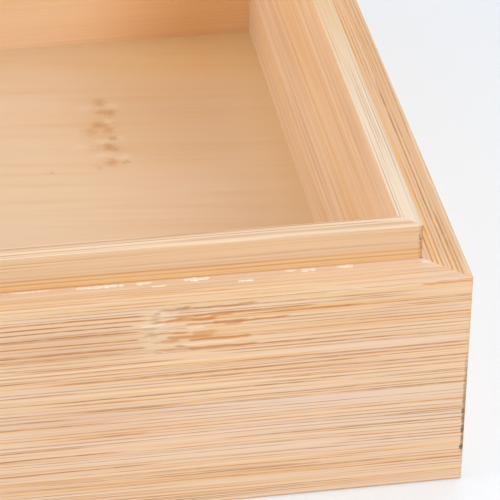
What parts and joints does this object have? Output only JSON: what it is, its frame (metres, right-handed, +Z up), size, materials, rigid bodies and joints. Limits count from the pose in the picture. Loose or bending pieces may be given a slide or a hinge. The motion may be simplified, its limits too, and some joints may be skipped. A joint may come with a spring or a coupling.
{
  "type": "wooden storage box",
  "caption": "Bamboo storage box with mitred outer boards, a thinner liner standing proud of the rim to seat the lid, an inset floor, and a hinged lid standing open.",
  "frame": {"origin": "middle of the box's underside, on the surface it stands on", "axes": "+X along the front to the right, +Y from the front to the hinged back, +Z up"},
  "size_m": [0.25, 0.2329, 0.2404],
  "materials": {
    "wall_bamboo": "sanded bamboo, clear matt oil",
    "liner_bamboo": "sanded bamboo, clear matt oil",
    "panel_bamboo": "sanded bamboo, clear matt oil",
    "hinge_brass": "satin brass",
    "screw_brass": "satin brass"
  },
  "bodies": {
    "box": {"front_wall": "wall_bamboo", "right_wall": "wall_bamboo", "back_wall": "wall_bamboo", "left_wall": "wall_bamboo", "front_liner": "liner_bamboo", "right_liner": "liner_bamboo", "back_liner": "liner_bamboo", "left_liner": "liner_bamboo", "floor_panel": "panel_bamboo", "left_hinge_box_leaf": "hinge_brass", "right_hinge_box_leaf": "hinge_brass", "left_hinge_pin": "hinge_brass", "right_hinge_pin": "hinge_brass", "box_hinge_screws": "screw_brass"},
    "lid": {"lid_front_rail": "wall_bamboo", "lid_right_rail": "wall_bamboo", "lid_back_rail": "wall_bamboo", "lid_left_rail": "wall_bamboo", "lid_panel": "panel_bamboo", "left_hinge_lid_leaf": "hinge_brass", "right_hinge_lid_leaf": "hinge_brass", "lid_hinge_screws": "screw_brass"}
  },
  "joints": [
    {"name": "lid_hinge", "type": "hinge", "parent": "box", "child": "lid", "pos_m": [0, 0.098, 0.04715], "axis": [1, 0, 0], "range_deg": [0, 95]}
  ]
}
